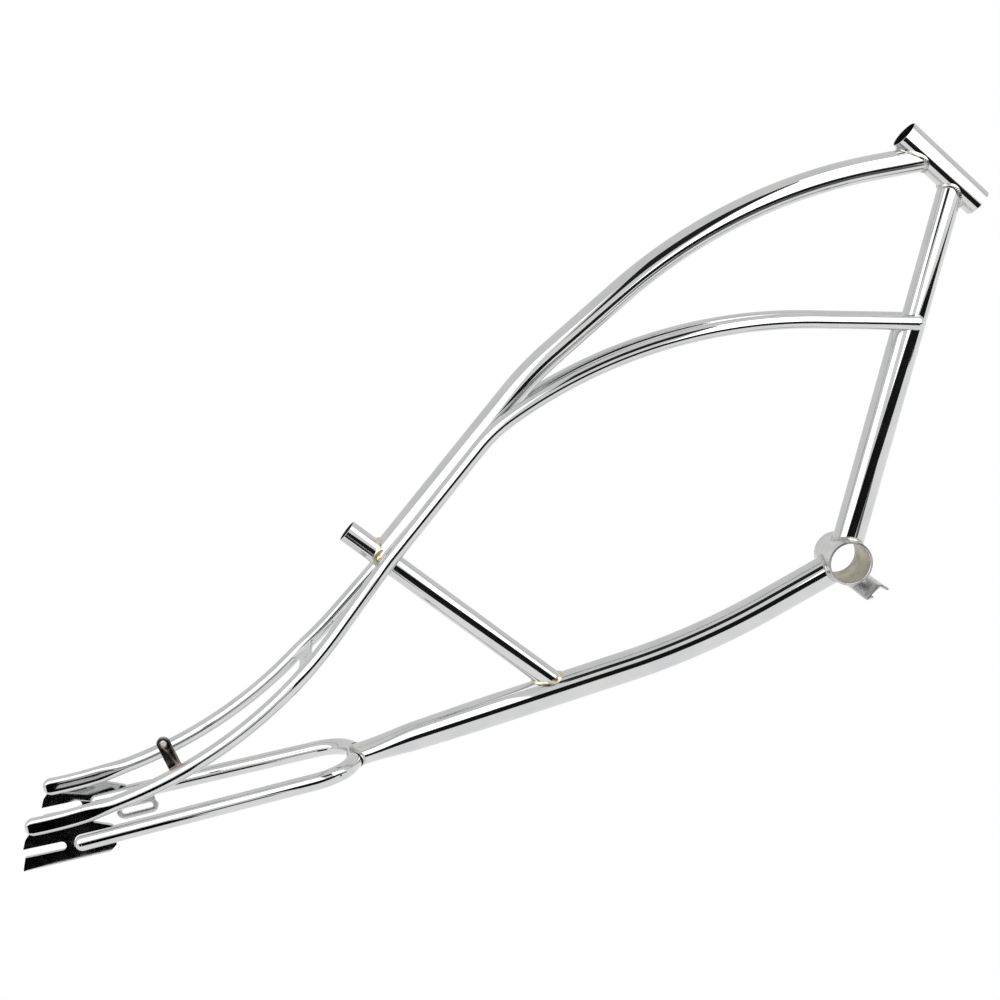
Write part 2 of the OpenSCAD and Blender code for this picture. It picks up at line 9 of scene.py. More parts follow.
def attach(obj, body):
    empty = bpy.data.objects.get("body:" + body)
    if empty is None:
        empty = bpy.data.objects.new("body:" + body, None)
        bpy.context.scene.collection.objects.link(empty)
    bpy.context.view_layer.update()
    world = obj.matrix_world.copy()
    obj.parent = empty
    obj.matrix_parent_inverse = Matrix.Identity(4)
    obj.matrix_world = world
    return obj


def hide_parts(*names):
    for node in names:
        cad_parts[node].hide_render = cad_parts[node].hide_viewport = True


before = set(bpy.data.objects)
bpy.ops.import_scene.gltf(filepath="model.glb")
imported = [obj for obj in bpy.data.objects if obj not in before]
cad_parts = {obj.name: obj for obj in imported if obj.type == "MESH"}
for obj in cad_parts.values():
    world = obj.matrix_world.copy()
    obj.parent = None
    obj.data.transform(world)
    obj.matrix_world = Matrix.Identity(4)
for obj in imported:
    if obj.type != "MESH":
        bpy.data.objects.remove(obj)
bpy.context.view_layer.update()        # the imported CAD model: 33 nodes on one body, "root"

mm = 0.001
right, left = -1, 1      # sides along Y
across = np.array([0.0, 1.0, 0.0])


def hexColour(text):
    # sRGB hex to linear: below 0.04045 a straight line, above it a 2.4 power
    parts = [int(text[i:i + 2], 16) / 255 for i in (1, 3, 5)]
    return tuple(c / 12.92 if c < 0.04045 else ((c + 0.055) / 1.055) ** 2.4 for c in parts) + (1.0,)


def addNode(tree, kind, settings=None, links=None):
    # settings are attributes or input values; links are input name or number -> output socket
    node = tree.nodes.new(kind)
    for key, value in (settings or {}).items():
        if isinstance(key, int) or key in node.inputs:
            node.inputs[key].default_value = value
        else:
            setattr(node, key, value)
    for key, socket in (links or {}).items():
        tree.links.new(socket, node.inputs[key])
    return node


# Lengths are in millimetres until a mesh is made. A "rise" is the slope of a rearward heading.
def unit(v):
    return v / np.linalg.norm(v, axis=-1, keepdims=True)


def turn(vector, axis, angles):
    # Rodrigues: v cos + (axis x v) sin + axis (axis . v)(1 - cos), for a whole array of angles
    a = np.atleast_1d(angles)[:, None]
    return vector * np.cos(a) + np.cross(axis, vector) * np.sin(a) + axis * (axis @ vector) * (1 - np.cos(a))


def ahead(rise):
    a = math.radians(rise)
    return np.array([-math.cos(a), 0, math.sin(a)])


def above(rise):
    a = math.radians(rise)
    return np.array([math.sin(a), 0, math.cos(a)])


def bendShift(radius, start, end):
    # chord of an arc that turns the heading from one rise to another
    a, b = math.radians(start), math.radians(end)
    return radius * np.sign(b - a) * np.array([math.sin(a) - math.sin(b), 0, math.cos(a) - math.cos(b)])


def straights(gap, a, b):
    # two lengths along two headings that add up to a gap
    return np.linalg.solve(np.column_stack([ahead(a)[::2], ahead(b)[::2]]), gap[::2])


def startAt(spot, rise):
    # a travelling frame: point, heading, up and left
    return np.array([spot, ahead(rise), above(rise), across])


def bentPath(start, steps, spacing=5.0):
    # Each step is a straight length, a bend direction, a bend radius and a bend angle. Directions are
    # 0 up, 90 left, 180 down, -90 right. Along a bend, point = centre - radius * inward turned so far.
    rows = [start[None]]
    for length, way, radius, bend in steps:
        spot, heading, up, side = rows[-1][-1]
        if length > 0:
            run = np.linspace(0, length, max(2, round(length / spacing)))[1:, None]
            rows.append(np.stack([spot + heading * run] + [v + 0 * run for v in (heading, up, side)], 1))
            spot = rows[-1][-1][0]
        if bend > 0:
            a = math.radians(way)
            inward = up * math.cos(a) + side * math.sin(a)
            axis = np.cross(heading, inward)
            sweep = math.radians(bend)
            angles = np.linspace(0, sweep, max(5, round(sweep * radius / spacing)))[1:]
            spots = spot + inward * radius - radius * turn(inward, axis, angles)
            rows.append(np.stack([spots] + [turn(v, axis, angles) for v in (heading, up, side)], 1))
    return np.concatenate(rows)


def tubeGrid(path, high, wide=None, around=56):
    # ring point = path point + up * high * cos(angle) + left * wide * sin(angle); sizes may vary by row
    wide = high if wide is None else wide
    a = (np.arange(around) + 0.5) * 2 * math.pi / around
    x = np.broadcast_to(np.asarray(high, float), (len(path),))[:, None] * np.cos(a)
    y = np.broadcast_to(np.asarray(wide, float), (len(path),))[:, None] * np.sin(a)
    return placed(path, x, y)


def placed(path, x, y, twist=0.0):
    c, s = math.cos(twist), math.sin(twist)
    spots, _, up, side = (path[:, i, None] for i in range(4))
    return spots + up * (x * c - y * s)[..., None] + side * (x * s + y * c)[..., None]


def shrunk(ring, sizes):
    centre = ring.mean(0)
    return centre + (ring - centre) * np.array(sizes)[:, None, None]


def reachPost(points, heading, post):
    # distance along a heading to a cylinder's side; where a line misses it, to its nearest approach
    spot, axis, radius = post
    flat = heading - (heading @ axis) * axis
    away = points - spot
    away = away - (away @ axis)[..., None] * axis
    a, b, c = flat @ flat, away @ flat, (away * away).sum(-1) - radius ** 2
    return (-b - np.sqrt(np.maximum(b * b - a * c, 0))) / a


def copedEnd(ring, heading, post, bite=0.5):
    # carries a ring along its heading into another tube's wall, then closes it with smaller rings there
    post = (post[0], post[1], post[2] - bite)
    steps = np.array([[0.25], [0.5], [0.75], [1]])
    walls = ring + heading * (reachPost(ring, heading, post) * steps)[..., None]
    lids = shrunk(ring, (0.8, 0.6, 0.4, 0.2, 0))
    return np.concatenate([walls, lids + heading * reachPost(lids, heading, post)[..., None]])


def lathe(profile, spot, axis, side, around=72):
    # turns a profile of (radius, distance along the axis) about the axis
    a = np.arange(around)[:, None] * 2 * math.pi / around
    ring = side * np.cos(a) + np.cross(axis, side) * np.sin(a)
    profile = np.asarray(profile, float)
    return spot + profile[:, 0, None, None] * ring + profile[:, 1, None, None] * axis


def roundedOutline(corners, radii, points=7):
    # each corner becomes a curve b(t) = (1-t)^2 before + 2t(1-t) corner + t^2 after
    corners = np.asarray(corners, float)
    before, after = unit(np.roll(corners, 1, 0) - corners), unit(np.roll(corners, -1, 0) - corners)
    half = np.arccos(np.clip((before * after).sum(1), -1, 1)) / 2
    cut = (np.broadcast_to(radii, len(corners)) / np.tan(half))[:, None, None]
    t = np.linspace(0, 1, points)[None, :, None]
    curve = corners[:, None] + before[:, None] * cut * (1 - t) ** 2 + after[:, None] * cut * t ** 2
    return curve.reshape(-1, 2)


def meshPiece(name, points, faces, materials, sharp=38):
    mesh = bpy.data.meshes.new(name)
    mesh.from_pydata(points * mm, [], faces)
    work = bmesh.new()
    work.from_mesh(mesh)
    bmesh.ops.remove_doubles(work, verts=work.verts, dist=1e-6)
    bmesh.ops.recalc_face_normals(work, faces=work.faces)
    work.to_mesh(mesh)
    work.free()
    mesh.shade_smooth()
    mesh.set_sharp_from_angle(angle=math.radians(sharp))
    for material in materials:
        mesh.materials.append(material)
    piece = bpy.data.objects.new(name, mesh)
    bpy.context.scene.collection.objects.link(piece)
    return piece


def gridPiece(name, grid, materials, ring=False, sharp=38):
    # quads between the rows of a grid whose columns close; ring=True closes the rows too
    rows, cols = grid.shape[:2]
    r = np.arange(rows if ring else rows - 1)[:, None]
    c = np.arange(cols)[None]
    below, beside = (r + 1) % rows * cols, (c + 1) % cols
    faces = np.stack([r * cols + c, r * cols + beside, below + beside, below + c], -1).reshape(-1, 4)
    return meshPiece(name, grid.reshape(-1, 3), faces.tolist(), materials, sharp)


def prismPiece(name, near, far, materials=(), sharp=38):
    # two rings of the same count joined by quads, each closed with one face
    n = len(near)
    i = np.arange(n)
    sides = np.stack([i, (i + 1) % n, (i + 1) % n + n, i + n], 1).tolist()
    ends = [list(range(n)), list(range(2 * n - 1, n - 1, -1))]
    return meshPiece(name, np.concatenate([near, far]), sides + ends, materials, sharp)


def platePiece(name, outline, thickness, place, materials, holes=(), edge=0.5):
    # an outline pushed through its thickness; place is (spot, x direction, y direction)
    spot, x, y = place
    flat = spot + outline[:, :1] * x + outline[:, 1:] * y
    shift = np.cross(x, y) * thickness / 2
    piece = prismPiece(name, flat - shift, flat + shift, materials, 30)
    cutters = []
    for hole in holes:
        wall = spot + hole[:, :1] * x + hole[:, 1:] * y
        cutters.append(prismPiece(name + "Cut", wall - 3 * shift, wall + 3 * shift))   # well past both faces
    return cutAndBevel(piece, cutters, edge)


def cutAndBevel(piece, cutters, edge):
    # live modifiers are turned into plain mesh at once, so nothing depends on the cutters
    for cutter in cutters:
        cut = piece.modifiers.new("cut", "BOOLEAN")
        cut.object, cut.solver = cutter, "EXACT"
    if edge:
        bevel = piece.modifiers.new("edge", "BEVEL")
        bevel.width, bevel.segments, bevel.limit_method = edge * mm, 3, "ANGLE"
        bevel.angle_limit = math.radians(40)
    graph = bpy.context.evaluated_depsgraph_get()
    solid = bpy.data.meshes.new_from_object(piece.evaluated_get(graph))
    piece.modifiers.clear()
    piece.data = solid
    for cutter in cutters:
        bpy.data.objects.remove(cutter)
    solid.shade_smooth()
    solid.set_sharp_from_angle(angle=math.radians(30))
    return piece


def beadGrid(curve, post, tube, outward, look):
    # A weld bead: at each point of the joint's curve a profile bulges from a leg's length along one tube
    # to a leg's length along the other, p + leg * direction; its crest is rippled along the curve.
    along = unit(np.roll(curve, -1, 0) - np.roll(curve, 1, 0))
    onPost, onTube = np.cross(along, post), np.cross(along, tube)
    onPost = unit(onPost * np.sign((onPost * (tube - outward)).sum(-1))[:, None])
    onTube = unit(onTube * np.sign((onTube * outward).sum(-1))[:, None])
    steps = np.linalg.norm(np.roll(curve, -1, 0) - curve, axis=1)
    arc = np.concatenate([[0], np.cumsum(steps)[:-1]])
    waves = round(steps.sum() / look["pitch"])
    u = np.linspace(0, 1, 9)[:, None]
    ripple = np.abs(np.sin(math.pi * (arc / steps.sum() * waves + 0.9 * u * (1 - u))))[..., None]
    u = u[..., None]
    leg = look["leg"]
    crest = unit(post + tube)
    line = curve + leg * (onPost * (1 - u) ** 2 + onTube * u ** 2)
    hump = crest * look["hump"] * (1 + look["ripple"] * ripple)
    line = line + leg * u * (1 - u) * ((onPost + onTube) + hump)
    return np.concatenate([line, (curve - crest * leg * 0.3)[None]])      # the last row is sunk in the joint


def jointCurve(spot, heading, radius, post, around=320):
    # where the surface lines of a tube meet the side of a post, coming back along the tube
    start = np.array([spot + heading * 80, -heading, np.cross(across, -heading), across])
    ring = tubeGrid(start[None], radius, around=around)[0]
    curve = ring - heading * reachPost(ring, -heading, post)[:, None]
    away = curve - post[0]
    postSide = unit(away - (away @ post[1])[:, None] * post[1])
    return curve, postSide, unit(ring - start[0])


def bind(piece, slot, *nodes):
    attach(piece, "root")
    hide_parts(*nodes)


# Bright nickel-chrome plating on polished steel tube: a clean mirror, with faint clouds left by the
# polishing wheel and orange peel a few millimetres across. Chrome returns about 62 % of the light.
polished = {"colour": ("#cecfd0", "#d6d6d5"), "rough": (0.03, 0.075), "cloud": 38, "grain": 5, "depth": 0.004}
# The same plating on sheared plate, which is polished less: short soft waves
plated = {"colour": ("#c6c7c8", "#d0d0cf"), "rough": (0.05, 0.11), "cloud": 16, "grain": 3.5, "depth": 0.006}
# Satin chrome over blasted steel: an even pale grey with a fine grit
satin = {"colour": ("#c9cacb", "#dcdcda"), "rough": (0.26, 0.4), "cloud": 14, "grain": 0.9, "depth": 0.02}
# Chrome over a weld: the plating is thin in the valleys, so it is duller and slightly warm
welded = {"colour": ("#a9a5a0", "#d3d2cf"), "rough": (0.12, 0.3), "cloud": 5, "grain": 1.4, "depth": 0.03}
# Brass braze showing through thin chrome: patches of pale gold among the grey
brazed = {"colour": ("#c2b694", "#e2dfd0"), "rough": (0.14, 0.3), "cloud": 7, "grain": 1.8, "depth": 0.03}
# Heat-tinted chrome of the small eyelet: grey brown
tinted = {"colour": ("#7d746c", "#a7a19a"), "rough": (0.12, 0.26), "cloud": 8, "grain": 1.5, "depth": 0.015}
# Bare machined bore with dried oil: olive and beige stains over turning marks
bored = {"colour": ("#8b866e", "#c9c2b4"), "rough": (0.3, 0.5), "cloud": 18, "grain": 1.2, "depth": 0.02}
# Unplated inside of a tube: dark mill scale
scaled = {"colour": ("#1d1c1a", "#3a3836"), "rough": (0.4, 0.65), "cloud": 9, "grain": 1.5, "depth": 0.03}


def metal(name, look):
    material = bpy.data.materials.new(name)
    material.use_nodes = True
    tree = material.node_tree
    shader = tree.nodes["Principled BSDF"]
    shader.inputs["Metallic"].default_value = 1
    place = addNode(tree, "ShaderNodeTexCoord").outputs["Object"]
    cloud = addNode(tree, "ShaderNodeTexNoise", {"Scale": 1 / (look["cloud"] * mm), "Detail": 3.0},
                    {"Vector": place})
    grain = addNode(tree, "ShaderNodeTexNoise", {"Scale": 1 / (look["grain"] * mm), "Detail": 4.0},
                    {"Vector": place})
    tone = addNode(tree, "ShaderNodeValToRGB", {}, {"Fac": cloud.outputs["Fac"]})
    tone.color_ramp.elements[0].color, tone.color_ramp.elements[1].color = map(hexColour, look["colour"])
    tone.color_ramp.elements[0].position, tone.color_ramp.elements[1].position = 0.35, 0.65
    low, high = look["rough"]
    gloss = addNode(tree, "ShaderNodeMapRange",
                    {"From Min": 0.35, "From Max": 0.65, "To Min": low, "To Max": high},
                    {"Value": cloud.outputs["Fac"]})
    relief = addNode(tree, "ShaderNodeBump", {"Strength": 1.0, "Distance": look["depth"] * mm},
                     {"Height": grain.outputs["Fac"]})
    tree.links.new(tone.outputs["Color"], shader.inputs["Base Color"])
    tree.links.new(gloss.outputs["Result"], shader.inputs["Roughness"])
    tree.links.new(relief.outputs["Normal"], shader.inputs["Normal"])
    return material


tubeChrome = metal("polishedTubeChrome", polished)
plateChrome = metal("shearedPlateChrome", plated)
satinChrome = metal("satinChrome", satin)
weldChrome = metal("chromedWeld", welded)
braze = metal("brassBraze", brazed)
eyeletChrome = metal("heatTintedChrome", tinted)
bareBore = metal("oiledBareBore", bored)
tubeInside = metal("millScaleInside", scaled)
print("materials made")


# Head tube: open at both ends, with thin rims
head = {"length": 128.7, "od": 36, "bore": 34, "slope": 59.5, "joint": 43.4, "rim": 0.35}
down = {"length": 490.5, "slope": 57.05, "lowerOd": 40, "upperOd": 31.8, "step": 311, "ring": 5,
        "start": 34, "ringLap": 0.8, "end": 34}
downSlope = math.radians(down["slope"])
downDir = np.array([math.cos(downSlope), 0, math.sin(downSlope)])
downFront = np.array([math.sin(downSlope), 0, -math.cos(downSlope)])
downShift = (down["lowerOd"] - down["upperOd"]) / 2
headDir = ahead(head["slope"])
headFoot = down["length"] * downDir + downShift * downFront - head["joint"] * headDir
headPost = (headFoot, headDir, head["od"] / 2)

rOut, rIn, rim, length = head["od"] / 2, head["bore"] / 2, head["rim"], head["length"]
outer, inner = np.linspace(4, length - 4, 12), np.linspace(length - 4, 4, 12)
profile = [(rOut - rim, 0), (rOut, rim), *[(rOut, z) for z in outer], (rOut, length - rim),
           (rOut - rim, length), (rIn + rim, length), (rIn, length - rim),
           *[(rIn, z) for z in inner], (rIn, rim), (rIn + rim, 0)]
headTube = gridPiece("headTube", lathe(profile, headFoot, headDir, across), [tubeChrome, tubeInside],
                     ring=True)
bind(headTube, "chrome_tube", "head_tube")


def paintInside(piece, spot, axis, radius):
    # gives the second material to every face whose middle lies inside a radius about the axis
    mesh = piece.data
    middles = np.empty(len(mesh.polygons) * 3)
    mesh.polygons.foreach_get("center", middles)
    away = middles.reshape(-1, 3) / mm - spot
    away = away - (away @ axis)[:, None] * axis
    mesh.polygons.foreach_set("material_index", (np.linalg.norm(away, axis=1) < radius).astype(int))


paintInside(headTube, headFoot, headDir, rIn + 0.1)

# Bottom bracket shell: a short thick ring with eased edges and a bare bore
shell = {"length": 68, "bore": 51.3, "wall": 2.95, "edge": 0.6}
rIn, half, edge = shell["bore"] / 2, shell["length"] / 2, shell["edge"]
rOut = rIn + shell["wall"]
origin = np.zeros(3)
shellPost = (origin, across, rOut)
profile = [(rOut - edge, -half), (rOut - 0.2 * edge, -half + 0.2 * edge), (rOut, -half + edge),
           *[(rOut, y) for y in np.linspace(-half + 4, half - 4, 9)], (rOut, half - edge),
           (rOut - 0.2 * edge, half - 0.2 * edge), (rOut - edge, half), (rIn + edge, half),
           (rIn, half - edge),
           *[(rIn, y) for y in np.linspace(half - 4, 4 - half, 9)], (rIn, edge - half), (rIn + edge, -half)]
grid = lathe(profile, origin, across, above(0), 96)
bottomShell = gridPiece("bottomShell", grid, [satinChrome, bareBore], ring=True)
paintInside(bottomShell, origin, across, rIn + 0.1)
bind(bottomShell, "satin_chrome", "bb_shell")

# Down tube: a wide lower part, an eccentric shoulder and a slimmer upper part, flush along the front.
# Its plain stretch starts and ends a little away from the shell's and the head tube's axes.
spot = downDir * down["start"]
path = bentPath(np.array([spot, downDir, downFront, across]), [(down["step"] - down["start"], 0, 0, 0)], 12)
grid = tubeGrid(path, down["lowerOd"] / 2)
grid = np.concatenate([copedEnd(grid[0], -downDir, shellPost, 1.5)[::-1], grid, shrunk(grid[-1], (0.6, 0))])
lowerTube = gridPiece("lowerDownTube", grid, [tubeChrome])
bind(lowerTube, "chrome_tube", "down_tube_lower")

t = np.linspace(0, 1, 12)
rise = np.concatenate([[0], down["ring"] * (0.35 + 0.65 * np.sin(t * math.pi / 2))])
slim = np.concatenate([[down["lowerOd"] / 2], down["upperOd"] / 2 + downShift * np.cos(t * math.pi / 2)])
frames = np.array([[downDir * (down["step"] + z) + downFront * (down["lowerOd"] / 2 - r), downDir, downFront,
                    across] for z, r in zip(rise, slim)])
grid = tubeGrid(frames, slim)
grid = np.concatenate([shrunk(grid[0], (0, 0.6)), grid, shrunk(grid[-1], (0.6, 0))])
shoulder = gridPiece("downTubeShoulder", grid, [tubeChrome])
bind(shoulder, "chrome_tube", "down_tube_ring")

upperFoot = down["step"] + down["ring"] * down["ringLap"]
spot = downDir * upperFoot + downFront * downShift
path = bentPath(np.array([spot, downDir, downFront, across]),
                [(down["length"] - upperFoot - down["end"], 0, 0, 0)], 12)
grid = tubeGrid(path, down["upperOd"] / 2)
upperTube = gridPiece("upperDownTube", np.concatenate([shrunk(grid[0], (0, 0.6)), grid,
                      copedEnd(grid[-1], downDir, headPost)]), [tubeChrome])
bind(upperTube, "chrome_tube", "down_tube_upper")
print("head, shell and down tube made")

# Bottom tube: a long shallow bend, then a taper whose end is pressed to a flat oval at the crosspiece.
# It is plain from "start" past the shell's axis to "yokeGap" short of the crosspiece's.
bottom = {"od": 40, "endOd": 34, "taper": 180, "offset": 3.5, "rise": -10, "front": 112, "radius": 950,
          "bend": 12, "tail": 363, "press": 70, "endHeight": 28, "endWidth": 42, "start": 38, "yokeGap": 14}
tailRise = bottom["rise"] + bottom["bend"]
bottomStart = np.array([0, 0, -bottom["offset"]])
bottomBent = (bottomStart + bottom["front"] * ahead(bottom["rise"])
              + bendShift(bottom["radius"], bottom["rise"], tailRise))
yoke = bottomBent + bottom["tail"] * ahead(tailRise)
loop = {"od": 21, "radius": 52, "cross": 10, "splay": 2.2, "rise": 6.65, "leg": 290}
yokePost = (yoke, across, loop["od"] / 2)
path = bentPath(startAt(bottomStart + bottom["start"] * ahead(bottom["rise"]), bottom["rise"]),
                [(bottom["front"] - bottom["start"], 0, bottom["radius"], bottom["bend"]),
                 (bottom["tail"] - bottom["yokeGap"], 0, 0, 0)], 5)
toYoke = np.linalg.norm(path[:, 0] - yoke, axis=1)
straightPart = path[:, 0, 0] < bottomBent[0]
taper = np.where(straightPart, np.clip((bottom["taper"] - toYoke) / bottom["taper"], 0, 1), 0)
flattening = np.where(straightPart, np.clip(1 - (toYoke - bottom["yokeGap"]) / bottom["press"], 0, 1), 0)
flattening = flattening ** 2 * (3 - 2 * flattening)
plain = (bottom["od"] + (bottom["endOd"] - bottom["od"]) * taper) / 2
grid = tubeGrid(path, plain + (bottom["endHeight"] / 2 - plain) * flattening,
                plain + (bottom["endWidth"] / 2 - plain) * flattening)
grid = np.concatenate([copedEnd(grid[0], -ahead(bottom["rise"]), shellPost, 1.5)[::-1], grid,
                       copedEnd(grid[-1], ahead(tailRise), yokePost)])
bottomTube = gridPiece("bottomTube", grid, [tubeChrome])
bind(bottomTube, "chrome_tube", "bottom_tube")

# Chain stay loop: one tube bent into a U around its crosspiece, with domed ends
legTurn = 90 - loop["splay"]
bendAngle, s = math.radians(legTurn), math.radians(loop["splay"])
tipAlong = loop["radius"] * (1 - math.cos(bendAngle)) + loop["leg"] * math.cos(s)
tipY = loop["cross"] + loop["radius"] * math.sin(bendAngle) + loop["leg"] * math.sin(s)
legTip = yoke + tipAlong * ahead(loop["rise"])
legStart = np.array([legTip - tipY * across, math.sin(s) * across - math.cos(s) * ahead(loop["rise"]),
                     above(loop["rise"]), -math.cos(s) * across - math.sin(s) * ahead(loop["rise"])])
path = bentPath(legStart, [(loop["leg"], -90, loop["radius"], legTurn),
                           (2 * loop["cross"], -90, loop["radius"], legTurn), (loop["leg"], 0, 0, 0)], 2.6)
grid = tubeGrid(path, loop["od"] / 2, around=48)
grid = np.concatenate([shrunk(grid[0], (0, 0.5)), grid, shrunk(grid[-1], (0.5, 0))])
chainLoop = gridPiece("chainStayLoop", grid, [tubeChrome])
bind(chainLoop, "chrome_tube", "chain_stay_loop")


def dome(name, spot, heading, side, radius):
    # half a ball on the end of a tube: radius * cos(a), height * sin(a)
    a = np.linspace(0, math.pi / 2, 13)
    profile = [(0, -0.6), (radius * 0.8, -0.6), (radius * 0.97, -0.3),
               *zip(radius * np.cos(a), radius * np.sin(a))]
    return gridPiece(name, lathe(profile, spot, heading, side, 48), [tubeChrome], sharp=60)


for name, side, row in (("Right", right, path[0]), ("Left", left, path[-1])):
    outwards = -row[1] if side == right else row[1]
    cap = dome("legEnd" + name, row[0], outwards, row[2], loop["od"] / 2)
    bind(cap, "chrome_tube", "leg_plug_" + name.lower())
print("bottom tube and loop made")

# Seat tube: open and slotted at the top for the seat clamp; its inside is drawn down to "depth"
seat = {"od": 28.6, "bore": 25.4, "length": 341.6, "slope": 57, "foot": 86.5, "joint": 53.6, "slot": 3,
        "slotLength": 28, "rim": 0.4, "depth": 110, "start": 40}
seatStart = bottomBent + seat["foot"] * ahead(tailRise)
seatDir = ahead(seat["slope"])
seatPost = (seatStart, seatDir, seat["od"] / 2)
bottomPost = (seatStart, ahead(tailRise), bottom["od"] / 2)
rOut, rIn, rim, length = seat["od"] / 2, seat["bore"] / 2, seat["rim"], seat["length"]
floor = length - seat["depth"]
outer, inner = np.linspace(seat["start"], length - 3, 24), np.linspace(length - 3, floor, 9)
profile = [*[(rOut, z) for z in outer], (rOut, length - rim), (rOut - rim, length), (rIn + rim, length),
           (rIn, length - rim), *[(rIn, z) for z in inner], (rIn * 0.5, floor), (0, floor)]
grid = lathe(profile, seatStart, seatDir, across, 64)
seatTube = gridPiece("seatTube", np.concatenate([copedEnd(grid[0], -seatDir, bottomPost, 1)[::-1], grid]),
                     [tubeChrome, tubeInside])
slotHalf, slotEnd = seat["slot"] / 2, length - seat["slotLength"]
a = np.linspace(math.pi, 2 * math.pi, 9)
slotShape = np.concatenate([np.stack([slotHalf * np.cos(a), slotEnd + slotHalf * np.sin(a)], 1),
                            [(slotHalf, length + 5), (-slotHalf, length + 5)]])
back = -above(seat["slope"])
wall = seatStart + slotShape[:, :1] * across + slotShape[:, 1:] * seatDir
cutter = prismPiece("slotCut", wall, wall + back * 2 * rOut)
cutAndBevel(seatTube, [cutter], 0)
paintInside(seatTube, seatStart, seatDir, rIn + 0.1)
bind(seatTube, "chrome_tube", "seat_tube")

# Top tube: its two bends and straights close the gap from the head tube to the seat tube
top = {"od": 31.8, "joint": 42.7, "rise": 8.8, "frontRadius": 660, "frontBend": 30.7, "middle": 112,
       "rearRadius": 400, "rearBend": 9.9, "frontCut": 41, "rearCut": 30}
topStart = headFoot + (head["length"] - top["joint"]) * headDir
middleRise = top["rise"] - top["frontBend"]
endRise = middleRise - top["rearBend"]
knot = seatStart + (seat["length"] - seat["joint"]) * seatDir
gap = (knot - topStart - bendShift(top["frontRadius"], top["rise"], middleRise)
       - top["middle"] * ahead(middleRise) - bendShift(top["rearRadius"], middleRise, endRise))
front, rear = straights(gap, top["rise"], endRise)
path = bentPath(startAt(topStart + top["frontCut"] * ahead(top["rise"]), top["rise"]),
                [(front - top["frontCut"], 180, top["frontRadius"], top["frontBend"]),
                 (top["middle"], 180, top["rearRadius"], top["rearBend"]), (rear - top["rearCut"], 0, 0, 0)])
grid = tubeGrid(path, top["od"] / 2)
topTube = gridPiece("topTube", np.concatenate([copedEnd(grid[0], -ahead(top["rise"]), headPost)[::-1], grid,
                    copedEnd(grid[-1], ahead(endRise), seatPost)]), [tubeChrome])
bind(topTube, "chrome_tube", "top_tube")
print("seat tube and top tube made")

# Twin tubes: one tube a side from the down tube to the axle, bent, splayed and pressed flat at the end
stay = {"od": 19, "rise": 20.5, "joint": 311, "crestRadius": 633, "crestBend": 36.55, "shoulderRadius": 193,
        "shoulderBend": 16.2, "splay": 16, "splayRadius": 110, "sweepRadius": 575, "sweepEntry": 5.3,
        "sweepBend": 35.9, "flatHeight": 22.7, "flatThickness": 12.5, "flatLength": 82, "morph": 46}
axleFrame = {"width": 135, "plate": 6, "slot": 11, "slotRise": 8.6, "behind": 25, "above": 1.6,
             "tipBehind": 22.3, "tipAbove": 34, "slotDepth": 46}
axle = legTip + axleFrame["behind"] * ahead(loop["rise"]) + axleFrame["above"] * above(loop["rise"])
dropoutY = (axleFrame["width"] + axleFrame["plate"]) / 2
stayY = (top["od"] + stay["od"]) / 2
stayStart = stay["joint"] * downDir
crestRise = stay["rise"] - stay["crestBend"]
fallRise = crestRise - stay["shoulderBend"]
stayTip = axle + np.array([-axleFrame["tipBehind"], 0, axleFrame["tipAbove"]])
sp, se = math.radians(stay["splay"]), math.radians(stay["sweepEntry"])
splayBack = math.asin(math.cos(se) * math.sin(sp))
splayLean = math.atan2(math.sin(sp) * math.sin(se), math.cos(sp))
sweepRise = fallRise + math.degrees(math.atan2(math.sin(se), math.cos(se) * math.cos(sp)))
sideways = (stay["splayRadius"] * (1 - math.cos(sp)) + stay["sweepRadius"] * math.sin(sp) * math.sin(se)
            + stay["splayRadius"] * (1 - math.cos(splayBack)))
splayStraight = (dropoutY - stayY - sideways) / math.sin(sp)
sweepStart = stayTip - bendShift(stay["sweepRadius"], sweepRise, sweepRise + stay["sweepBend"])
splayShift = ((stay["splayRadius"] * math.sin(sp) + splayStraight * math.cos(sp)
               + stay["sweepRadius"] * math.sin(se) * math.cos(sp)) * ahead(fallRise)
              + stay["sweepRadius"] * (1 - math.cos(se)) * above(fallRise)
              + stay["splayRadius"] * math.sin(splayBack) * ahead(sweepRise))
gap = (sweepStart - splayShift - stayStart - bendShift(stay["crestRadius"], stay["rise"], crestRise)
       - bendShift(stay["shoulderRadius"], crestRise, fallRise))
stayFront, stayRear = straights(gap, stay["rise"], fallRise)


